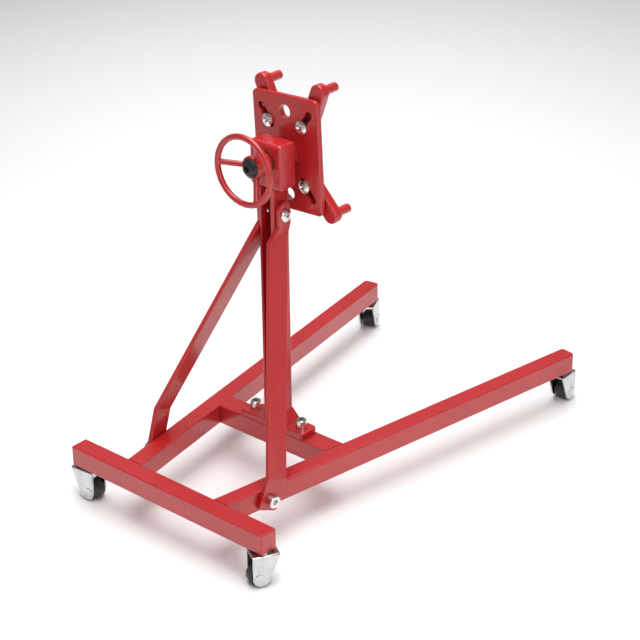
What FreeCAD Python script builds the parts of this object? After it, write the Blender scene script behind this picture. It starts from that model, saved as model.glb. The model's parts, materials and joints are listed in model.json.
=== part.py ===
import FreeCAD, Part
import math
import os

V = FreeCAD.Vector
X_AXIS, Y_AXIS, Z_AXIS = V(1, 0, 0), V(0, 1, 0), V(0, 0, 1)

# ---------------------------------------------------------------------------
# Driving dimensions, in millimetres and degrees.
# Design frame: x = 0 on the middle plane, y = 0 on the crossbar's front face,
# z = 0 on the floor. Everything is moved to its final origin at the very end.
# ---------------------------------------------------------------------------

# base frame
bar_length = 76.0
bar_depth = 5.8
member_height = 6.4
rail_width = 5.5
rail_length = 140.7
rail_gap_half = 17.2
rail_splay = 9.85
crossmember_depth = 6.8
crossmember_y = 49.2
edge_round = 0.45
rail_end_round = 1.2

# casters
caster_height = 10.55
caster_insets = {"front_left": 3.35, "front_right": 2.25, "rear_left": 2.8, "rear_right": 2.8}
caster_washer_thickness = 0.4
caster_washer_radius = 2.3
fork_width = 6.0
fork_thickness = 0.55
fork_top_length = 8.0
fork_end_radius = 2.5
axle_setback = 2.0
caster_wheel_radius = 3.0
caster_wheel_gap = 0.12
caster_wheel_round = 0.5
axle_radius = 0.75
axle_head_radius = 1.5
axle_head_height = 0.4
stem_radius = 1.2
stem_head_radius = 2.0
stem_head_height = 0.7
stem_depth = 4.2
caster_trail_angles = {"front_left": 6.0, "front_right": 240.0, "rear_left": 113.0, "rear_right": 92.0}

# post and its foot
post_width = 5.6
post_depth = 6.7
post_wall = 1.0
foot_length = 25.0
foot_thickness = 2.0
foot_corner_round = 1.3
foot_web_height = 3.2
foot_web_reach = 3.2
foot_screw_offset = 9.2

# head housing and spindle
housing_width = 11.8
housing_height = 13.6
housing_drop = 1.0
housing_round = 1.0
spindle_height = 85.4
spindle_radius = 3.0
bush_wall = 0.8
bush_length = 2.4
spindle_end_radius = 2.4
spindle_end_flat = 1.9
flange_radius = 4.2
plate_gap = 2.7
thrust_gap = 0.15

# handwheel
wheel_outer_radius = 10.8
wheel_rim_radius = 0.9
wheel_hub_radius = 3.4
wheel_hub_length = 5.6
wheel_hub_front_wall = 1.1
wheel_dish = 2.7
wheel_spoke_radius = 0.85
wheel_spoke_count = 3
wheel_spoke_turn = 174.3
wheel_hub_gap = 0.3

# head plate
plate_width = 24.3
plate_height = 34.3
plate_thickness = 1.8
plate_corner_round = 1.6
plate_edge_round = 0.45
plate_hole_radius = 2.0
plate_hole_offset = 12.3
slot_width = 2.4
slot_inner = (5.6, 7.8)
slot_outer = (8.9, 12.6)
head_roll = 2.7

# mounting arms
arm_reach = 10.7
arm_thickness = 3.0
arm_half_width = 2.5
arm_round = 0.6
arm_gap = 0.08
arm_pin_radius = 1.35
arm_pin_length = 5.4
arm_pin_fillet = 0.9
arm_screw_inset = 1.25
arm_angles = {"upper_left": 112.8, "upper_right": 67.2, "lower_left": 254.0, "lower_right": 310.5}

# braces
brace_width = 6.8
brace_thickness = 1.5
brace_ear_half_width = 2.4
brace_top_screw_height = 69.4
brace_top_end = 3.8
brace_shoulder_height = 3.8
brace_top_bend = 62.5
brace_bottom_screw_y = 19.6
brace_bottom_screw_drop = {"left": 1.1, "right": 0.0}
brace_bottom_end = {"left": 2.3, "right": 3.3}
brace_bottom_bend = {"left": 12.7, "right": 6.5}
brace_corner_round = 1.3

# fasteners: shank radius, head radius, head height, drive radius
m2_shank = 0.98
m2_pan_head = (1.95, 1.25)
m2_socket_head = (1.9, 2.0)
small_shank = 0.78
small_socket_head = (1.6, 2.7)
m3_shank = 1.48
m3_button_head = (2.85, 1.65)
thread_clearance = 0.02
pass_clearance = 0.15
running_clearance = 0.03
fit_clearance = 0.02

# ---------------------------------------------------------------------------
# Places worked out from the driving dimensions
# ---------------------------------------------------------------------------

frame_bottom = caster_height
frame_top = frame_bottom + member_height
frame_middle = frame_bottom + member_height / 2
splay = math.radians(rail_splay)

post_front = crossmember_y - post_depth / 2
post_back = crossmember_y + post_depth / 2
foot_top = frame_top + foot_thickness
spindle_z = frame_top + spindle_height
housing_bottom = spindle_z - housing_drop - housing_height / 2
housing_top = housing_bottom + housing_height

plate_front = post_back + plate_gap
plate_back = plate_front + plate_thickness
arm_front = plate_back + arm_gap
arm_back = arm_front + arm_thickness

hub_back = post_front - wheel_hub_gap
hub_front = hub_back - wheel_hub_length
rim_y = hub_front - wheel_dish

slot_travel = math.hypot(slot_outer[0] - slot_inner[0], slot_outer[1] - slot_inner[1])
SIDES = {"left": -1, "right": 1}
CORNERS = {"upper_left": (-1, 1), "upper_right": (1, 1), "lower_left": (-1, -1), "lower_right": (1, -1)}


def rail_point(side, along, across=0.0, z=frame_middle):
    """A point on a rail: along its axis from the crossbar, and across it, outwards positive."""
    x = rail_gap_half + along * math.sin(splay) + across * math.cos(splay)
    y = bar_depth + along * math.cos(splay) - across * math.sin(splay)
    return V(side * x, y, z)


def rail_inner_x(y):
    """Distance from the middle plane to a rail's inner face, at this y."""
    return rail_gap_half + (y - bar_depth) * math.tan(splay) - rail_width / 2 / math.cos(splay)


# ---------------------------------------------------------------------------
# Small helpers
# ---------------------------------------------------------------------------

def box(low, high):
    return Part.makeBox(high[0] - low[0], high[1] - low[1], high[2] - low[2], V(*low))


def rod(radius, start, end):
    return Part.makeCylinder(radius, (end - start).Length, start, end - start)


def prism(points, direction):
    """The solid swept by a closed outline of points along a vector."""
    wire = Part.makePolygon(points + [points[0]])
    return Part.Face(wire).extrude(direction)


def turned(profile, start, axis):
    """A solid of revolution: profile is a list of (radius, distance along the axis)."""
    points = [V(radius, 0, height) for radius, height in profile]
    solid = prism_face(points).revolve(V(0, 0, 0), Z_AXIS, 360)
    return placed_along(solid, start, axis)


def prism_face(points):
    return Part.Face(Part.makePolygon(points + [points[0]]))


def placed_along(shape, start, axis):
    """Carries a shape modelled up the z axis from 0 to a start point and a direction."""
    shape = shape.copy()
    shape.Placement = FreeCAD.Placement(start, FreeCAD.Rotation(Z_AXIS, axis)).multiply(shape.Placement)
    return shape


def edges_where(shape, test):
    """The straight edges whose middle point and direction pass a test."""
    found = []
    for edge in shape.Edges:
        if edge.Curve.TypeId == "Part::GeomLine":
            ends = [vertex.Point for vertex in edge.Vertexes]
            if test((ends[0] + ends[1]) * 0.5, (ends[1] - ends[0]).normalize()):
                found.append(edge)
    return found


def rounded(shape, radius, test):
    return shape.makeFillet(radius, edges_where(shape, test))


def mirrored(shape):
    return shape.mirror(V(0, 0, 0), X_AXIS)


def capsule(start, end, half_width, thickness):
    """A flat bar with round ends between two points in an x-z plane, swept along +y."""
    along = (end - start).normalize()
    across = along.cross(Y_AXIS) * half_width
    tips = [start - along * half_width, end + along * half_width]
    outline = Part.Wire([
        Part.LineSegment(start + across, end + across).toShape(),
        Part.Arc(end + across, tips[1], end - across).toShape(),
        Part.LineSegment(end - across, start - across).toShape(),
        Part.Arc(start - across, tips[0], start + across).toShape(),
    ])
    return Part.Face(outline).extrude(Y_AXIS * thickness)


# ---------------------------------------------------------------------------
# Fasteners, modelled up the z axis: the head stands above z = 0, the shank hangs below
# ---------------------------------------------------------------------------

def dome(radius, height, flat):
    """A screw head with a crowned top; flat is the height of its straight side."""
    rise = height - flat
    sphere = (radius ** 2 + rise ** 2) / (2 * rise)
    middle = math.asin(radius / sphere) / 2
    crown = V(sphere * math.sin(middle), 0, height - sphere + sphere * math.cos(middle))
    outline = Part.Wire([
        Part.LineSegment(V(0, 0, 0), V(radius, 0, 0)).toShape(),
        Part.LineSegment(V(radius, 0, 0), V(radius, 0, flat)).toShape(),
        Part.Arc(V(radius, 0, flat), crown, V(0, 0, height)).toShape(),
        Part.LineSegment(V(0, 0, height), V(0, 0, 0)).toShape(),
    ])
    return Part.Face(outline).revolve(V(0, 0, 0), Z_AXIS, 360)


def cross_recess(head_radius, head_height):
    """The tapered cross that a driver fits in a pan head."""
    reach, width, depth = head_radius * 0.58, head_radius * 0.24, head_height * 0.7
    top, bottom = head_height + 0.1, head_height - depth
    wings = []
    for turn in (0, 90):
        wing = prism([V(-reach, 0, top), V(reach, 0, top), V(reach * 0.45, 0, bottom),
                      V(-reach * 0.45, 0, bottom)], V(0, width, 0))
        wing.translate(V(0, -width / 2, 0))
        wing.rotate(V(0, 0, 0), Z_AXIS, turn)
        wings.append(wing)
    return wings[0].fuse(wings[1])


def hex_socket(across_flats, head_height, depth):
    corner = across_flats / math.sqrt(3)
    points = [V(corner * math.cos(math.radians(60 * i)), corner * math.sin(math.radians(60 * i)),
                head_height - depth) for i in range(6)]
    return prism(points, V(0, 0, depth + 0.1))


def shank(radius, length):
    tip = min(radius * 0.3, length / 4)
    return turned([(0, -length), (radius - tip, -length), (radius, -length + tip), (radius, 0), (0, 0)],
                  V(0, 0, 0), Z_AXIS)


def pan_screw(head, shank_radius, length):
    radius, height = head
    body = dome(radius, height, height * 0.45).fuse(shank(shank_radius, length))
    return body.cut(cross_recess(radius, height)).removeSplitter()


def socket_screw(head, shank_radius, length):
    radius, height = head
    bevel = height * 0.1
    top = turned([(0, 0), (radius, 0), (radius, height - bevel), (radius - bevel, height), (0, height)],
                 V(0, 0, 0), Z_AXIS)
    body = top.fuse(shank(shank_radius, length))
    return body.cut(hex_socket(radius * 0.85, height, height * 0.6)).removeSplitter()


def button_screw(head, shank_radius, length):
    radius, height = head
    body = dome(radius, height, height * 0.12).fuse(shank(shank_radius, length))
    return body.cut(hex_socket(radius * 0.7, height, height * 0.62)).removeSplitter()


def tapped_hole(shank_radius, seat, axis, depth):
    """The space of a screw's thread, from its seat along -axis; it opens just above the seat."""
    return rod(shank_radius + thread_clearance, seat + axis * 0.5, seat - axis * depth)


# ---------------------------------------------------------------------------
# Base frame
# ---------------------------------------------------------------------------

def make_crossbar():
    bar = box((-bar_length / 2, 0, frame_bottom), (bar_length / 2, bar_depth, frame_top))
    bar = bar.makeFillet(edge_round, bar.Edges)
    for name in ("front_left", "front_right"):
        bar = bar.cut(stem_hole(caster_place(name)))
    return bar


def make_rail(side):
    """A rail lies at the splay angle and is cut flat where it meets the crossbar."""
    overlap = rail_width
    low = (-rail_width / 2, -overlap, frame_bottom)
    rail = box(low, (rail_width / 2, rail_length, frame_top))
    rail = rounded(rail, rail_end_round, lambda middle, way: abs(way.z) > 0.9 and middle.y > 0)
    rail = rail.makeFillet(edge_round, [
        edge for edge in rail.Edges
        if edge.BoundBox.ZLength < 0.01 and edge.BoundBox.YMax > 0])
    rail.rotate(V(0, 0, 0), Z_AXIS, -rail_splay)
    rail.translate(V(rail_gap_half, bar_depth, 0))
    behind = box((-bar_length, bar_depth - 3 * overlap, 0), (bar_length, bar_depth, frame_top + 1))
    rail = rail.cut(behind)
    if side < 0:
        rail = mirrored(rail)
    name = "left" if side < 0 else "right"
    seat, normal = brace_bottom_seat(name, side)
    depth = rail_width * 0.8
    return rail.cut(stem_hole(caster_place("rear_" + name))).cut(tapped_hole(m2_shank, seat, normal, depth))


def make_crossmember():
    front, back = crossmember_y - crossmember_depth / 2, crossmember_y + crossmember_depth / 2
    outline = [V(-rail_inner_x(front), front, frame_bottom), V(rail_inner_x(front), front, frame_bottom),
               V(rail_inner_x(back), back, frame_bottom), V(-rail_inner_x(back), back, frame_bottom)]
    bar = prism(outline, V(0, 0, member_height))
    bar = rounded(bar, edge_round, lambda middle, way: abs(way.x) > 0.99)
    for seat in foot_screw_seats():
        bar = bar.cut(tapped_hole(small_shank, seat - Z_AXIS * foot_thickness, Z_AXIS, member_height * 0.8))
    return bar


# ---------------------------------------------------------------------------
# Casters
# ---------------------------------------------------------------------------

def caster_place(name):
    """The point under the frame where a caster's swivel axis meets it."""
    side = -1 if name.endswith("left") else 1
    if name.startswith("front"):
        return V(side * (bar_length / 2 - caster_insets[name]), bar_depth / 2, frame_bottom)
    return rail_point(side, rail_length - caster_insets[name], 0, frame_bottom)


def stem_hole(place):
    return rod(stem_radius + thread_clearance, place - Z_AXIS, place + Z_AXIS * (stem_depth + 0.3))


def caster_levels():
    """Heights of the fork's top face and of the axle."""
    return frame_bottom - caster_washer_thickness, caster_wheel_radius


def axle_trail():
    return fork_top_length / 2 - axle_setback


def make_fork():
    """The fork in its own frame: it trails along +x, the swivel axis is x = y = 0."""
    top, axle_z = caster_levels()
    front, back = -fork_top_length / 2, fork_top_length / 2
    axle = V(axle_trail(), 0, axle_z)
    centre = V(back - fork_end_radius, 0, axle_z)
    lean = V(front, 0, top) - centre
    tangent = math.atan2(lean.z, lean.x) + math.acos(fork_end_radius / lean.Length)
    touch = centre + V(math.cos(tangent), 0, math.sin(tangent)) * fork_end_radius
    lowest = (tangent + 2 * math.pi) / 2
    bottom = centre + V(math.cos(lowest), 0, math.sin(lowest)) * fork_end_radius
    outline = Part.Wire([
        Part.LineSegment(V(front, 0, top), V(back, 0, top)).toShape(),
        Part.LineSegment(V(back, 0, top), V(back, 0, axle_z)).toShape(),
        Part.Arc(V(back, 0, axle_z), bottom, touch).toShape(),
        Part.LineSegment(touch, V(front, 0, top)).toShape(),
    ])
    body = Part.Face(outline).extrude(Y_AXIS * fork_width)
    body.translate(V(0, -fork_width / 2, 0))
    body = rounded(body, fork_thickness * 0.9,
                   lambda middle, way: abs(way.x) > 0.99 and middle.z > top - 0.01)
    inside = box((front - 1, fork_thickness - fork_width / 2, -1),
                 (back + 1, fork_width / 2 - fork_thickness, top - fork_thickness))
    body = body.cut(inside)
    body = body.cut(rod(axle_radius + fit_clearance, axle - Y_AXIS * fork_width, axle + Y_AXIS * fork_width))
    return body.cut(rod(stem_radius + running_clearance, V(0, 0, top - 2), V(0, 0, top + 1)))


def make_caster_wheel():
    _, axle_z = caster_levels()
    width = fork_width - 2 * fork_thickness - 2 * caster_wheel_gap
    axle = V(axle_trail(), 0, axle_z)
    tyre = rod(caster_wheel_radius, axle - Y_AXIS * width / 2, axle + Y_AXIS * width / 2)
    tyre = tyre.makeFillet(caster_wheel_round, [
        edge for edge in tyre.Edges if edge.Curve.TypeId == "Part::GeomCircle"])
    for way in (-1, 1):
        face = axle + Y_AXIS * (way * width / 2)
        dish = rod(caster_wheel_radius * 0.66, face, face - Y_AXIS * (way * 0.3))
        tyre = tyre.cut(dish.cut(rod(axle_radius * 1.8, face, face - Y_AXIS * (way * 0.3))))
    bore = rod(axle_radius + running_clearance, axle - Y_AXIS * width, axle + Y_AXIS * width)
    return tyre.cut(bore)


def make_caster_axle():
    _, axle_z = caster_levels()
    axle = V(axle_trail(), 0, axle_z)
    half = fork_width / 2
    pin = rod(axle_radius, axle - Y_AXIS * half, axle + Y_AXIS * half)
    for way in (-1, 1):
        head = dome(axle_head_radius, axle_head_height, axle_head_height * 0.4)
        pin = pin.fuse(placed_along(head, axle + Y_AXIS * (way * half), Y_AXIS * way))
    return pin


def make_caster_stem():
    top, _ = caster_levels()
    under = V(0, 0, top - fork_thickness - running_clearance)
    head = placed_along(dome(stem_head_radius, stem_head_height, stem_head_height * 0.5), under, -Z_AXIS)
    return head.fuse(rod(stem_radius, under, V(0, 0, frame_bottom + stem_depth)))


def make_caster_washer():
    top, _ = caster_levels()
    low, high = V(0, 0, top + running_clearance), V(0, 0, frame_bottom)
    ring = rod(caster_washer_radius, low, high)
    return ring.cut(rod(stem_radius + fit_clearance, low - Z_AXIS, high + Z_AXIS))


def make_casters():
    makers = {"fork": make_fork, "wheel": make_caster_wheel, "axle": make_caster_axle,
              "stem": make_caster_stem, "washer": make_caster_washer}
    casters = {}
    for name, angle in caster_trail_angles.items():
        place = caster_place(name)
        for part, maker in makers.items():
            shape = maker()
            shape.rotate(V(0, 0, 0), Z_AXIS, angle)
            shape.translate(V(place.x, place.y, 0))
            casters[name + "_caster_" + part] = shape
    return casters


# ---------------------------------------------------------------------------
# Post, foot and braces
# ---------------------------------------------------------------------------

def foot_screw_seats():
    return [V(side * foot_screw_offset, crossmember_y, foot_top) for side in (-1, 1)]


def make_foot():
    half_y = crossmember_depth / 2
    plate = box((-foot_length / 2, crossmember_y - half_y, frame_top),
                (foot_length / 2, crossmember_y + half_y, foot_top))
    plate = rounded(plate, foot_corner_round, lambda middle, way: abs(way.z) > 0.9)
    plate = plate.makeFillet(edge_round, [
        edge for edge in plate.Edges if edge.BoundBox.ZMin > foot_top - 0.01])
    for side in (-1, 1):
        inner, outer = side * post_width / 2, side * (post_width / 2 + foot_web_reach)
        web = prism([V(inner, post_front, foot_top - edge_round), V(outer, post_front, foot_top - edge_round),
                     V(outer, post_front, foot_top), V(inner, post_front, foot_top + foot_web_height)],
                    V(0, post_depth, 0))
        plate = plate.fuse(web)
    for seat in foot_screw_seats():
        plate = plate.cut(rod(small_shank + pass_clearance, seat + Z_AXIS, seat - Z_AXIS * foot_thickness * 2))
    return plate.removeSplitter()


def make_post():
    """An upright channel, open towards the crossbar."""
    outer = box((-post_width / 2, post_front, foot_top), (post_width / 2, post_back, housing_bottom))
    outer = rounded(outer, edge_round, lambda middle, way: abs(way.z) > 0.9)
    inner = box((post_wall - post_width / 2, post_front - 1, foot_top - 1),
                (post_width / 2 - post_wall, post_back - post_wall, housing_bottom + 1))
    post = outer.cut(inner)
    for side in (-1, 1):
        seat, normal = brace_top_seat(side)
        post = post.cut(tapped_hole(m2_shank, seat, normal, post_wall * 1.5))
    return post


def brace_top_seat(side):
    """Where a brace's top screw enters the post's flange, and the direction it faces."""
    return V(side * post_width / 2, crossmember_y, frame_top + brace_top_screw_height), X_AXIS * side


def brace_bottom_seat(name, side):
    """Where a brace's bottom screw enters the rail's outer face, and the direction it faces."""
    along = (brace_bottom_screw_y - bar_depth + rail_width / 2 * math.sin(splay)) / math.cos(splay)
    normal = V(side * math.cos(splay), -math.sin(splay), 0)
    return rail_point(side, along, rail_width / 2) - Z_AXIS * brace_bottom_screw_drop[name], normal


def strip_section(front, rear, outward):
    """The strip's outline along one of its bend lines, from its inner face outwards."""
    return Part.makePolygon([front, rear, rear + outward * brace_thickness, front + outward * brace_thickness,
                             front])


def make_brace(name):
    """A brace, modelled on the right: an ear on the post, a slanting strip and an ear on the rail."""
    top, top_out = brace_top_seat(1)
    low, low_out = brace_bottom_seat(name, 1)
    lean = (top.y - low.y) / (top.z - low.z)
    half_level = brace_width / 2 * math.hypot(1, lean)

    # the ear on the rail is square to the strip, and the strip bends along its upper end
    level = Z_AXIS.cross(low_out)
    up = (level * (lean / level.y) + Z_AXIS).normalize()
    across = low_out.cross(up) * (brace_width / 2)
    end, bend = low - up * brace_bottom_end[name], low + up * brace_bottom_bend[name]
    lower = prism([bend - across, bend + across, end + across, end - across], low_out * brace_thickness)
    lower = rounded(lower, brace_corner_round, lambda middle, way: (
        abs(way.dot(low_out)) > 0.99 and (middle - end).dot(up) < 0.1))

    # the strip bends again, along a level line, where it meets the ear on the post
    high = V(top.x, top.y, top.z) - (Y_AXIS * lean + Z_AXIS) * (brace_top_screw_height - brace_top_bend)
    front, rear = high - Y_AXIS * half_level, high + Y_AXIS * half_level
    if across.y > 0:
        across = across * -1
    strip = Part.makeLoft([strip_section(bend + across, bend - across, low_out),
                           strip_section(front, rear, top_out)], True, True)

    # above that line the ear narrows by a shoulder at the front, and ends round
    ear_top = V(top.x, top.y, top.z + brace_top_end)
    ear_front = V(top.x, top.y - brace_ear_half_width, ear_top.z - brace_ear_half_width)
    ear_rear = V(top.x, top.y + brace_ear_half_width, ear_front.z)
    shoulder = V(top.x, ear_front.y, front.z + brace_shoulder_height)
    straight = V(top.x, ear_rear.y, top.z - (half_level - brace_ear_half_width) / lean)
    outline = Part.Wire([
        Part.makePolygon([ear_front, shoulder, front, rear, straight, ear_rear]),
        Part.Arc(ear_rear, ear_top, ear_front).toShape(),
    ])
    upper = Part.Face(outline).extrude(top_out * brace_thickness)

    brace = strip.fuse([upper, lower]).removeSplitter()
    for seat, out in ((top, top_out), (low, low_out)):
        brace = brace.cut(rod(m2_shank + pass_clearance, seat - out, seat + out * (brace_thickness + 1)))
    return mirrored(brace) if SIDES[name] < 0 else brace


def screws_at(screw, places):
    """Copies of one screw, each with its head seated at a point and facing a direction."""
    return Part.makeCompound([placed_along(screw, seat, axis) for seat, axis in places])


def make_brace_screws():
    top_screw = pan_screw(m2_pan_head, m2_shank, brace_thickness + post_wall * 1.4)
    low_screw = socket_screw(m2_socket_head, m2_shank, brace_thickness + rail_width * 0.7)
    tops, lows = [], []
    for name, side in SIDES.items():
        seat, out = brace_top_seat(side)
        tops.append((seat + out * brace_thickness, out))
        seat, out = brace_bottom_seat(name, side)
        lows.append((seat + out * brace_thickness, out))
    return screws_at(top_screw, tops), screws_at(low_screw, lows)


def make_foot_screws():
    screw = socket_screw(small_socket_head, small_shank, foot_thickness + member_height * 0.7)
    return screws_at(screw, [(seat, Z_AXIS) for seat in foot_screw_seats()])


# ---------------------------------------------------------------------------
# Head: housing, bushes, spindle, handwheel and plate
# ---------------------------------------------------------------------------

def on_axis(y):
    return V(0, y, spindle_z)


def d_end(radius, flat, start, finish):
    """A round end with one flat, along the spindle's axis."""
    body = rod(radius, on_axis(start), on_axis(finish))
    return body.cut(box((-radius, start - 1, spindle_z + flat), (radius, finish + 1, spindle_z + radius + 1)))


def make_housing():
    block = box((-housing_width / 2, post_front, housing_bottom), (housing_width / 2, post_back, housing_top))
    block = block.makeFillet(housing_round, block.Edges)
    return block.cut(rod(spindle_radius + bush_wall + fit_clearance, on_axis(post_front - 1),
                         on_axis(post_back + 1)))


def make_bush(start):
    outer = rod(spindle_radius + bush_wall, on_axis(start), on_axis(start + bush_length))
    return outer.cut(rod(spindle_radius + running_clearance, on_axis(start - 1),
                         on_axis(start + bush_length + 1)))


def make_spindle():
    """The spindle with its flange; both ends are turned down and carry a flat each."""
    front, tail = hub_front + wheel_hub_front_wall + 0.1, plate_back - 0.05
    flange_front = post_back + thrust_gap
    profile = [(0, front), (spindle_end_radius, front), (spindle_end_radius, hub_back),
               (spindle_radius, hub_back), (spindle_radius, flange_front), (flange_radius, flange_front),
               (flange_radius, plate_front), (spindle_end_radius, plate_front), (spindle_end_radius, tail),
               (0, tail)]
    spindle = turned(profile, on_axis(0), Y_AXIS)
    for start, finish in ((front - 1, hub_back), (plate_front, tail + 1)):
        spindle = spindle.cut(box((-spindle_radius, start, spindle_z + spindle_end_flat),
                                  (spindle_radius, finish, spindle_z + spindle_radius)))
    front_hole = rod(m3_shank + thread_clearance, on_axis(front - 1),
                     on_axis(hub_front + handwheel_screw_length() + 0.3))
    rear_hole = rod(m3_shank + thread_clearance, on_axis(tail + 1),
                    on_axis(plate_back - plate_screw_length() - 0.3))
    return spindle.cut(front_hole).cut(rear_hole)


def handwheel_screw_length():
    return wheel_hub_length + 0.8


def plate_screw_length():
    return plate_thickness + 3.0


def make_handwheel():
    """A dished wheel: its rim stands ahead of the hub and the spokes slope forward to it."""
    ring_radius = wheel_outer_radius - wheel_rim_radius
    rim = Part.makeTorus(ring_radius, wheel_rim_radius, on_axis(rim_y), Y_AXIS)
    hub = rod(wheel_hub_radius, on_axis(hub_front), on_axis(hub_back))
    hub = hub.makeFillet(edge_round, [edge for edge in hub.Edges if edge.Curve.TypeId == "Part::GeomCircle"])
    spokes = []
    for i in range(wheel_spoke_count):
        angle = math.radians(wheel_spoke_turn + 360 / wheel_spoke_count * i)
        way = V(math.cos(angle), 0, math.sin(angle))
        root = on_axis(hub_front + wheel_spoke_radius + 0.4) + way * wheel_hub_radius * 0.7
        spokes.append(rod(wheel_spoke_radius, root, on_axis(rim_y) + way * ring_radius))
    wheel = rim.fuse(spokes + [hub])
    wheel = wheel.cut(d_end(spindle_end_radius + fit_clearance, spindle_end_flat + fit_clearance,
                            hub_front + wheel_hub_front_wall, hub_back + 1))
    return wheel.cut(rod(m3_shank + pass_clearance, on_axis(hub_front - 1), on_axis(hub_back)))


def slot_point(corner, share):
    """A point on a corner's slot: share 0 at its inner end, 1 at its outer end."""
    sx, sz = CORNERS[corner]
    x = slot_inner[0] + (slot_outer[0] - slot_inner[0]) * share
    z = slot_inner[1] + (slot_outer[1] - slot_inner[1]) * share
    return V(sx * x, 0, spindle_z + sz * z)


def make_plate():
    plate = box((-plate_width / 2, plate_front, spindle_z - plate_height / 2),
                (plate_width / 2, plate_back, spindle_z + plate_height / 2))
    plate = rounded(plate, plate_corner_round, lambda middle, way: abs(way.y) > 0.9)
    plate = plate.makeFillet(plate_edge_round, [
        edge for edge in plate.Edges if edge.BoundBox.YLength < 0.01])
    for way in (-1, 1):
        hole = on_axis(plate_front - 1) + Z_AXIS * (way * plate_hole_offset)
        plate = plate.cut(rod(plate_hole_radius, hole, hole + Y_AXIS * (plate_thickness + 2)))
    for corner in CORNERS:
        inner, outer = slot_point(corner, 0), slot_point(corner, 1)
        slot = capsule(inner, outer, slot_width / 2, plate_thickness + 2)
        slot.translate(Y_AXIS * (plate_front - 1))
        plate = plate.cut(slot)
    return plate.cut(d_end(spindle_end_radius + fit_clearance, spindle_end_flat + fit_clearance,
                           plate_front - 1, plate_back + 1))


# ---------------------------------------------------------------------------
# Mounting arms
# ---------------------------------------------------------------------------

def arm_screw_share():
    return arm_screw_inset / slot_travel


def arm_points(corner):
    """The clamp screw's place and the pin's place, on the plane y = 0."""
    screw = slot_point(corner, arm_screw_share())
    angle = math.radians(arm_angles[corner])
    return screw, screw + V(math.cos(angle), 0, math.sin(angle)) * arm_reach


def make_arm(corner):
    """A flat arm clamped behind the plate, with a round pin that points away from it."""
    screw, pin = arm_points(corner)
    arm = capsule(screw, pin, arm_half_width, arm_thickness)
    arm.translate(Y_AXIS * arm_front)
    arm = arm.makeFillet(arm_round, [edge for edge in arm.Edges if edge.BoundBox.YLength < 0.01])
    stud = rod(arm_pin_radius, pin + Y_AXIS * (arm_back - arm_round), pin + Y_AXIS * (arm_back + arm_pin_length))
    stud = stud.makeChamfer(arm_pin_radius * 0.2, [
        edge for edge in stud.Edges if edge.BoundBox.YMin > arm_back + arm_pin_length - 0.01])
    flare = placed_along(fillet_ring(arm_pin_radius, arm_pin_fillet), pin + Y_AXIS * arm_back, Y_AXIS)
    arm = arm.fuse([stud, flare])
    hole = screw + Y_AXIS * arm_front
    return arm.cut(tapped_hole(m2_shank, hole, -Y_AXIS, arm_thickness + 1)).removeSplitter()


def fillet_ring(radius, size):
    """A concave flare round the foot of a pin that stands on z = 0."""
    diagonal = size * (1 - math.sqrt(0.5))
    outline = Part.Wire([
        Part.LineSegment(V(0, 0, -0.05), V(radius + size, 0, -0.05)).toShape(),
        Part.LineSegment(V(radius + size, 0, -0.05), V(radius + size, 0, 0)).toShape(),
        Part.Arc(V(radius + size, 0, 0), V(radius + diagonal, 0, diagonal), V(radius, 0, size)).toShape(),
        Part.LineSegment(V(radius, 0, size), V(0, 0, size)).toShape(),
        Part.LineSegment(V(0, 0, size), V(0, 0, -0.05)).toShape(),
    ])
    return Part.Face(outline).revolve(V(0, 0, 0), Z_AXIS, 360)


def make_arm_screw(corner):
    screw, _ = arm_points(corner)
    length = plate_thickness + arm_gap + arm_thickness + 0.3
    return placed_along(pan_screw(m2_pan_head, m2_shank, length), screw + Y_AXIS * (plate_front - arm_gap), -Y_AXIS)


# ---------------------------------------------------------------------------
# Assembly
# ---------------------------------------------------------------------------

def make_frame_pieces():
    top_screws, bottom_screws = make_brace_screws()
    return {
        "front_crossbar": make_crossbar(),
        "left_rail": make_rail(-1),
        "right_rail": make_rail(1),
        "crossmember": make_crossmember(),
        "post_foot": make_foot(),
        "foot_screws": make_foot_screws(),
        "post_channel": make_post(),
        "left_brace": make_brace("left"),
        "right_brace": make_brace("right"),
        "brace_top_screws": top_screws,
        "brace_bottom_screws": bottom_screws,
        "head_housing": make_housing(),
        "front_bush": make_bush(post_front),
        "rear_bush": make_bush(post_back - bush_length),
    }


def make_head_pieces():
    """The pieces that turn with the spindle, turned to the head's rest angle."""
    pieces = {
        "spindle": make_spindle(),
        "handwheel": make_handwheel(),
        "handwheel_screw": placed_along(button_screw(m3_button_head, m3_shank, handwheel_screw_length()),
                                        on_axis(hub_front), -Y_AXIS),
        "head_plate": make_plate(),
        "plate_screw": placed_along(button_screw(m3_button_head, m3_shank, plate_screw_length()),
                                    on_axis(plate_back), Y_AXIS),
    }
    for corner in CORNERS:
        pieces[corner + "_arm"] = make_arm(corner)
        pieces[corner + "_arm_screw"] = make_arm_screw(corner)
    for shape in pieces.values():
        shape.rotate(on_axis(0), Y_AXIS, -head_roll)
    return pieces


def make_all():
    pieces = make_frame_pieces()
    pieces.update(make_head_pieces())
    pieces.update(make_casters())
    return pieces


def final_origin(pieces):
    """The design-frame point under the middle of the whole stand, on the floor."""
    boxes = [shape.optimalBoundingBox(True, False) for shape in pieces.values()]
    x = (min(b.XMin for b in boxes) + max(b.XMax for b in boxes)) / 2
    y = (min(b.YMin for b in boxes) + max(b.YMax for b in boxes)) / 2
    return V(x, y, min(b.ZMin for b in boxes))


def main():
    pieces = make_all()
    origin = final_origin(pieces)
    os.makedirs("parts", exist_ok=True)
    for name, shape in pieces.items():
        shape.translate(origin * -1)
        shape.exportStep("parts/" + name + ".step")
    print(len(pieces), "nodes; origin in the design frame:", round(origin.x, 4), round(origin.y, 4),
          round(origin.z, 4))


main()
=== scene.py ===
import bmesh
import bpy
import json
import math
from mathutils import Matrix, Vector


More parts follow.
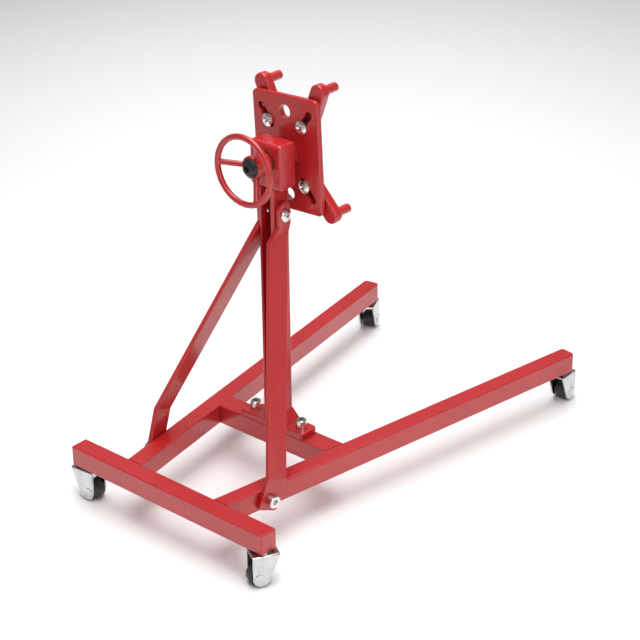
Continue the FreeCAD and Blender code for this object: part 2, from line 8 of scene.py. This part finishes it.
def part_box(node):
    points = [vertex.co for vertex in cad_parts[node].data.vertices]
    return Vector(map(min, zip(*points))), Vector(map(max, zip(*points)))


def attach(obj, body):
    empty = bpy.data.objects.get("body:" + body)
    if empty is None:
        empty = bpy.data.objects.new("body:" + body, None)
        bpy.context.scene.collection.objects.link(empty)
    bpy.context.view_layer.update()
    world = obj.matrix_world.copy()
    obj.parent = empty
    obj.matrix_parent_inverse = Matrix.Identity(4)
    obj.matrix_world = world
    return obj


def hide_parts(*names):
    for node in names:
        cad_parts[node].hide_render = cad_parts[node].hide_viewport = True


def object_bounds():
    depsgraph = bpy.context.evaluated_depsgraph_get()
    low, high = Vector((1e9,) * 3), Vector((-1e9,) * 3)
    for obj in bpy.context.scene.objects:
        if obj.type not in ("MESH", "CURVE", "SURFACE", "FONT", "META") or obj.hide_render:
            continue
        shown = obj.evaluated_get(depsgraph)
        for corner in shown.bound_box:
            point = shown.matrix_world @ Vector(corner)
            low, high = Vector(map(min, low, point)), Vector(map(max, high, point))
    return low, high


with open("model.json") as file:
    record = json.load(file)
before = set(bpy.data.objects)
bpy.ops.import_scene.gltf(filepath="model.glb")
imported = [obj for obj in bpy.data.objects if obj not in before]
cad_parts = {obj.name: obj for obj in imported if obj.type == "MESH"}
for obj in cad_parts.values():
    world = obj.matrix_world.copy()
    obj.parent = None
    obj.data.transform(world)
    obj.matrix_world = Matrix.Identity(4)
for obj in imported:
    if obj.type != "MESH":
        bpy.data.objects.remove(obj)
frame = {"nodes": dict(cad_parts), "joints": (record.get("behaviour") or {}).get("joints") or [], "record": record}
cad_low, cad_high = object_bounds()
nodes = frame["nodes"]
MM = 0.001

# ---------------------------------------------------------------------------
# Finishes
# ---------------------------------------------------------------------------


class Finish:
    """A material under construction: a Principled shader fed by patterns in the object's own space."""

    def __init__(self, name):
        self.material = bpy.data.materials.new(name)
        self.material.use_nodes = True
        self.tree = self.material.node_tree
        self.shader = self.tree.nodes["Principled BSDF"]
        self.place = self.tree.nodes.new("ShaderNodeTexCoord").outputs["Object"]

    def node(self, kind, **settings):
        made = self.tree.nodes.new("ShaderNode" + kind)
        for key, value in settings.items():
            if hasattr(made, key):
                setattr(made, key, value)
            else:
                made.inputs[key.replace("_", " ").title()].default_value = value
        return made

    def link(self, source, target):
        self.tree.links.new(source, target)

    def set(self, **values):
        for key, value in values.items():
            self.shader.inputs[key.replace("_", " ").title().replace("Ior", "IOR")].default_value = value

    def noise(self, size_mm, detail=3.0, stretch=(1, 1, 1)):
        """Cloudy noise whose blotches are about this size."""
        mapping = self.node("Mapping")
        mapping.inputs["Scale"].default_value = [share / (size_mm * MM) for share in stretch]
        noise = self.node("TexNoise")
        noise.inputs["Scale"].default_value = 1.0
        noise.inputs["Detail"].default_value = detail
        self.link(self.place, mapping.inputs["Vector"])
        self.link(mapping.outputs["Vector"], noise.inputs["Vector"])
        return noise.outputs["Fac"]

    def between(self, factor, low, high, start=0.3, finish=0.7):
        """A number that goes from low to high as the factor goes from start to finish."""
        ramp = self.node("MapRange")
        for key, value in (("From Min", start), ("From Max", finish), ("To Min", low), ("To Max", high)):
            ramp.inputs[key].default_value = value
        self.link(factor, ramp.inputs["Value"])
        return ramp.outputs["Result"]

    def mixed(self, factor, first, second):
        """A colour between two others; each is a colour or another pattern's output."""
        mix = self.node("Mix", data_type="RGBA")
        self.link(factor, mix.inputs[0])
        for index, colour in ((6, first), (7, second)):
            if isinstance(colour, tuple):
                mix.inputs[index].default_value = (*colour, 1.0)
            else:
                self.link(colour, mix.inputs[index])
        return mix.outputs[2]

    def edges(self, radius_mm):
        """1 along the piece's edges and corners, 0 on its faces."""
        bevel = self.node("Bevel", samples=4)
        bevel.inputs["Radius"].default_value = radius_mm * MM
        facing = self.node("VectorMath", operation="DOT_PRODUCT")
        self.link(bevel.outputs["Normal"], facing.inputs[0])
        self.link(self.node("NewGeometry").outputs["Normal"], facing.inputs[1])
        return self.between(facing.outputs["Value"], 1.0, 0.0, 0.80, 0.995)

    def corners(self, reach_mm):
        """0 in narrow gaps and inner corners, rising to 1 on open faces; used as the mask for painted shade there.
        """
        shelter = self.node("AmbientOcclusion", samples=8)
        shelter.inputs["Distance"].default_value = reach_mm * MM
        return shelter.outputs["AO"]

    def bump(self, *layers):
        """Stacks relief layers, each (pattern, height in mm), on the shader's normal."""
        normal = None
        for pattern, height in layers:
            relief = self.node("Bump")
            relief.inputs["Distance"].default_value = height * MM
            relief.inputs["Strength"].default_value = 1.0
            self.link(pattern, relief.inputs["Height"])
            if normal:
                self.link(normal, relief.inputs["Normal"])
            normal = relief.outputs["Normal"]
        self.link(normal, self.shader.inputs["Normal"])


def powder_coat():
    """Red powder coat: a soft gloss, a faint orange peel, lighter edges (partly painted highlight, partly thin
    worn coat) and painted shade in gaps and inner corners.
    """
    coat = Finish("red powder coat")
    clouds, grain, peel = coat.noise(16), coat.noise(1.2, 4), coat.noise(0.55, 2)
    red = coat.mixed(coat.between(clouds, 0, 1), (0.44, 0.008, 0.011), (0.51, 0.013, 0.015))
    red = coat.mixed(coat.between(grain, 0, 0.25), red, (0.33, 0.006, 0.012))
    # Painted shade: the red goes towards a deep, dark red in narrow gaps, inner corners and between touching
    # parts.
    red = coat.mixed(coat.between(coat.corners(2.0), 0.85, 0, 0.25, 0.8), red, (0.13, 0.001, 0.003))
    # Lighter red along the edges: partly a painted highlight on the rounded edges, partly thin, worn coat.
    edge_shine_and_wear = coat.edges(0.45)
    red = coat.mixed(coat.between(edge_shine_and_wear, 0, 0.55, 0, 1), red, (0.62, 0.07, 0.07))
    coat.link(red, coat.shader.inputs["Base Color"])
    coat.link(coat.between(grain, 0.30, 0.42), coat.shader.inputs["Roughness"])
    coat.set(coat_weight=0.6, coat_roughness=0.14, specular_ior_level=0.5)
    coat.bump((peel, 0.012), (clouds, 0.05))
    return coat.material


def bright_plate(name, colour, smooth, rough):
    """Bright plating: a mirror with faint smears, pits and hairline scratches."""
    plate = Finish(name)
    smear, pits = plate.noise(3.0, 4), plate.noise(0.35, 3)
    hairs = plate.noise(0.9, 2, (1, 14, 1))
    dull = tuple(share * 0.82 for share in colour)
    tone = plate.mixed(plate.between(smear, 0, 1), colour, dull)
    # Painted highlight: the plating's colour is lightened towards near white along the edges.
    tone = plate.mixed(plate.between(plate.edges(0.15), 0, 0.5, 0, 1), tone, (0.85, 0.85, 0.84))
    plate.link(tone, plate.shader.inputs["Base Color"])
    plate.link(plate.between(smear, smooth, rough), plate.shader.inputs["Roughness"])
    plate.set(metallic=1.0)
    plate.bump((pits, 0.0012), (hairs, 0.001))
    return plate.material


def black_oxide():
    oxide = Finish("black oxide")
    blotch, grain = oxide.noise(1.4, 4), oxide.noise(0.25, 2)
    tone = oxide.mixed(oxide.between(blotch, 0, 1), (0.028, 0.028, 0.030), (0.060, 0.056, 0.052))
    tone = oxide.mixed(oxide.between(oxide.edges(0.2), 0, 0.7, 0, 1), tone, (0.22, 0.21, 0.20))
    oxide.link(tone, oxide.shader.inputs["Base Color"])
    oxide.link(oxide.between(blotch, 0.32, 0.48), oxide.shader.inputs["Roughness"])
    oxide.set(metallic=0.6)
    oxide.bump((grain, 0.006))
    return oxide.material


def wheel_plastic():
    """Moulded black plastic, dusty where it rolls."""
    plastic = Finish("black wheel plastic")
    dust, grain = plastic.noise(1.8, 5), plastic.noise(0.22, 3)
    tone = plastic.mixed(plastic.between(dust, 0, 1, 0.4, 0.8), (0.012, 0.012, 0.013), (0.045, 0.043, 0.041))
    tone = plastic.mixed(plastic.between(plastic.edges(0.3), 0, 0.6, 0, 1), tone, (0.10, 0.10, 0.10))
    plastic.link(tone, plastic.shader.inputs["Base Color"])
    plastic.link(plastic.between(dust, 0.38, 0.60), plastic.shader.inputs["Roughness"])
    plastic.bump((grain, 0.010))
    return plastic.material


def plain_bronze():
    bronze = Finish("bush bronze")
    cloud, lines = bronze.noise(1.5, 3), bronze.noise(0.3, 2, (1, 12, 1))
    tone = bronze.mixed(bronze.between(cloud, 0, 1), (0.42, 0.24, 0.09), (0.55, 0.34, 0.14))
    bronze.link(tone, bronze.shader.inputs["Base Color"])
    bronze.link(bronze.between(cloud, 0.28, 0.42), bronze.shader.inputs["Roughness"])
    bronze.set(metallic=1.0)
    bronze.bump((lines, 0.006))
    return bronze.material


finishes = {
    "red_powder_coat": powder_coat(),
    "nickel_steel": bright_plate("nickel plate", (0.84, 0.82, 0.78), 0.16, 0.30),
    "chromed_steel": bright_plate("bright chrome", (0.64, 0.65, 0.64), 0.18, 0.30),
    "black_oxide_steel": black_oxide(),
    "black_plastic": wheel_plastic(),
    "bronze": plain_bronze(),
}
slots = {part["node"]: part["material_slot"] for part in frame["record"]["subparts"]}


def wear(piece, slot):
    """Gives a piece one finish all over."""
    piece.data.materials.clear()
    piece.data.materials.append(finishes[slot])


for name, node in nodes.items():
    wear(node, slots[name])

# ---------------------------------------------------------------------------
# Ways of working
# ---------------------------------------------------------------------------

join_distance = 0.002 * MM
flat_within = math.radians(0.6)
sharp_above = math.radians(38)
no_break = 0


def only(piece):
    bpy.ops.object.select_all(action="DESELECT")
    piece.select_set(True)
    bpy.context.view_layer.objects.active = piece


def edit(piece):
    only(piece)
    bpy.ops.object.mode_set(mode="EDIT")
    bpy.ops.mesh.select_all(action="SELECT")


def mark(piece, kind, test):
    """In edit mode, leaves only the edges or the faces that pass a test selected."""
    bpy.ops.mesh.select_mode(type=kind)
    bpy.ops.mesh.select_all(action="DESELECT")
    shape = bmesh.from_edit_mesh(piece.data)
    for part in shape.edges if kind == "EDGE" else shape.faces:
        part.select_set(test(part))
    bmesh.update_edit_mesh(piece.data)


def finish_piece(piece, node, body, break_width, smooth_angle=32):
    """Breaks the sharp edges, smooths the rest and puts the piece in its node's place on a body."""
    bpy.ops.object.mode_set(mode="OBJECT")
    only(piece)
    bpy.ops.object.transform_apply(location=True, rotation=True, scale=True)
    if break_width:
        edge_break = piece.modifiers.new("edge break", "BEVEL")
        edge_break.width = break_width
        edge_break.segments = 3
        edge_break.limit_method = "ANGLE"
        edge_break.angle_limit = sharp_above
        bpy.ops.object.modifier_apply(modifier=edge_break.name)
    bpy.ops.object.shade_smooth_by_angle(angle=math.radians(smooth_angle))
    shading = piece.modifiers.new("even shading", "WEIGHTED_NORMAL")
    shading.keep_sharp = True
    bpy.ops.object.modifier_apply(modifier=shading.name)
    wear(piece, slots[node])
    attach(piece, body)
    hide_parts(node)


def whole_copy(node, name):
    """A copy of a node's shape, in edit mode, with its triangles joined into whole faces."""
    piece = bpy.data.objects.new(name, nodes[node].data.copy())
    bpy.context.scene.collection.objects.link(piece)
    edit(piece)
    bpy.ops.mesh.customdata_custom_splitnormals_clear()
    bpy.ops.mesh.remove_doubles(threshold=join_distance)
    bpy.ops.mesh.dissolve_limited(angle_limit=flat_within)
    return piece


# ---------------------------------------------------------------------------
# Braces, foot and casters
# ---------------------------------------------------------------------------

sheared_edge_break = 0.16 * MM
foot_edge_break = 0.45 * MM
pressed_edge_break = 0.10 * MM
tyre_crown = 1.25 * MM
wheel_recess_depth = 0.3 * MM
recess_edge_break = 0.05 * MM
wheel_rim_share = 0.12
wheel_step_share = 0.03
fold_smoothing = 20


def make_brace(side):
    """A flat bar, sheared, folded twice and broken along its edges."""
    piece = whole_copy(side + "_brace", side + "_brace_strip")
    finish_piece(piece, side + "_brace", "frame", sheared_edge_break, fold_smoothing)


def make_caster_wheel(corner):
    """A moulded wheel: a crowned tread and a shallow recess round the hub on each side."""
    node = corner + "_caster_wheel"
    axle = Vector(next(joint["axis"] for joint in frame["joints"] if joint["name"] == corner + "_spin"))
    low, high = (Vector(point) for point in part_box(node))
    radius = (high.z - low.z) / 2
    reach = abs(axle.x) + abs(axle.y)
    width = ((high.x - low.x) + (high.y - low.y)) / reach - 2 * radius
    bpy.ops.object.select_all(action="DESELECT")
    bpy.ops.mesh.primitive_cylinder_add(vertices=72, radius=radius, depth=width, location=(low + high) / 2,
                                        rotation=axle.to_track_quat("Z", "Y").to_euler())
    piece = bpy.context.object
    piece.name = corner + "_caster_tyre"
    edit(piece)
    mark(piece, "EDGE", lambda edge: edge.calc_face_angle(0) > 1)
    bpy.ops.mesh.bevel(offset=tyre_crown, segments=10, profile=0.5, affect="EDGES")
    mark(piece, "FACE", lambda face: len(face.verts) > 40)
    bpy.ops.mesh.inset(thickness=wheel_rim_share * radius, use_individual=True)
    bpy.ops.mesh.inset(thickness=wheel_step_share * radius, depth=-wheel_recess_depth, use_individual=True)
    bpy.ops.mesh.inset(thickness=wheel_rim_share * radius, use_individual=True)
    bpy.ops.mesh.inset(thickness=wheel_step_share * radius, depth=wheel_recess_depth, use_individual=True)
    finish_piece(piece, node, corner + "_wheel", recess_edge_break)


def make_caster_fork(corner):
    """A pressed fork with rounded sheet edges."""
    piece = whole_copy(corner + "_caster_fork", corner + "_caster_pressing")
    finish_piece(piece, corner + "_caster_fork", corner + "_fork", pressed_edge_break)


def make_foot():
    """The foot of the post: a plate and two webs with soft edges."""
    piece = whole_copy("post_foot", "post_foot_plate")
    finish_piece(piece, "post_foot", "frame", foot_edge_break)


def make_whole(node, body):
    """A node as it is, with its doubled points merged and its triangles joined into whole faces."""
    finish_piece(whole_copy(node, node + "_body"), node, body, no_break)


make_foot()
make_whole("front_crossbar", "frame")
make_whole("head_housing", "frame")
for side in ("left", "right"):
    make_brace(side)
for corner in ("front_left", "front_right", "rear_left", "rear_right"):
    make_caster_wheel(corner)
    make_caster_fork(corner)
    make_whole(corner + "_caster_axle", corner + "_fork")
    make_whole(corner + "_caster_stem", "frame")

# ---------------------------------------------------------------------------
# Floor, light and camera
# ---------------------------------------------------------------------------

view_azimuth = math.radians(39.6)
view_elevation = math.radians(26.35)
view_distance = 0.55
lens_length, sensor_width = 101.7, 36.0
lens_shift = (-0.0611, -0.0133)
floor_size = 6
floor_drop = 0.05 * MM
view_aim = Vector((0.00744, 0.00664, 0.04533))


def make_floor():
    bpy.ops.mesh.primitive_plane_add(size=floor_size, location=(0, 0, cad_low.z - floor_drop))
    floor = bpy.context.object
    floor.name = "studio_floor"
    paper = Finish("pale paper")
    tone = paper.mixed(paper.between(paper.noise(400), 0, 1), (0.86, 0.86, 0.86), (0.90, 0.90, 0.90))
    paper.link(tone, paper.shader.inputs["Base Color"])
    paper.set(roughness=0.85, specular_ior_level=0.1)
    floor.data.materials.append(paper.material)


def soft_box(name, place, aim, size, power):
    """A rectangular soft light that looks at a point, with its power in watts."""
    bpy.ops.object.light_add(type="AREA", location=place)
    lamp = bpy.context.object
    lamp.name = name
    lamp.data.shape = "RECTANGLE"
    lamp.data.size, lamp.data.size_y = size
    lamp.data.energy = power
    lamp.rotation_euler = (Vector(aim) - Vector(place)).to_track_quat("-Z", "Y").to_euler()
    return lamp


def make_lights():
    """A room with pale walls, a long soft box over the stand in line with the view and one on the right."""
    world = bpy.data.worlds.new("studio")
    bpy.context.scene.world = world
    world.use_nodes = True
    tree = world.node_tree
    height = tree.nodes.new("ShaderNodeSeparateXYZ")
    walls = tree.nodes.new("ShaderNodeMapRange")
    walls.interpolation_type = "SMOOTHSTEP"
    for key, value in (("From Min", 0.06), ("From Max", 0.40), ("To Min", 0.60), ("To Max", 0.18)):
        walls.inputs[key].default_value = value
    tree.links.new(tree.nodes.new("ShaderNodeTexCoord").outputs["Generated"], height.inputs["Vector"])
    tree.links.new(height.outputs["Z"], walls.inputs["Value"])
    tree.links.new(walls.outputs["Result"], tree.nodes["Background"].inputs["Strength"])
    tree.nodes["Background"].inputs["Color"].default_value = (1.0, 1.0, 1.0, 1.0)
    towards = Vector((math.sin(view_azimuth), -math.cos(view_azimuth), 0))
    top = soft_box("top_light", Vector((0, 0, 0.55)) + 0.06 * towards, 0.05 * towards, (0.38, 1.1), 2.7)
    top.rotation_euler = Matrix.Rotation(view_azimuth, 4, "Z").to_euler()
    top.data.spread = math.radians(110)
    soft_box("side_light", (0.62, -0.25, 0.34), (0, 0, 0.07), (0.25, 0.35), 0.9)


def make_camera():
    back = Vector((math.sin(view_azimuth) * math.cos(view_elevation),
                   -math.cos(view_azimuth) * math.cos(view_elevation), math.sin(view_elevation)))
    bpy.ops.object.camera_add(location=view_aim + back * view_distance)
    camera = bpy.context.object
    camera.rotation_euler = back.to_track_quat("Z", "Y").to_euler()
    camera.data.lens, camera.data.sensor_width = lens_length, sensor_width
    camera.data.shift_x, camera.data.shift_y = lens_shift
    bpy.context.scene.camera = camera


make_floor()
make_lights()
make_camera()
bpy.context.scene.view_settings.view_transform = "Standard"
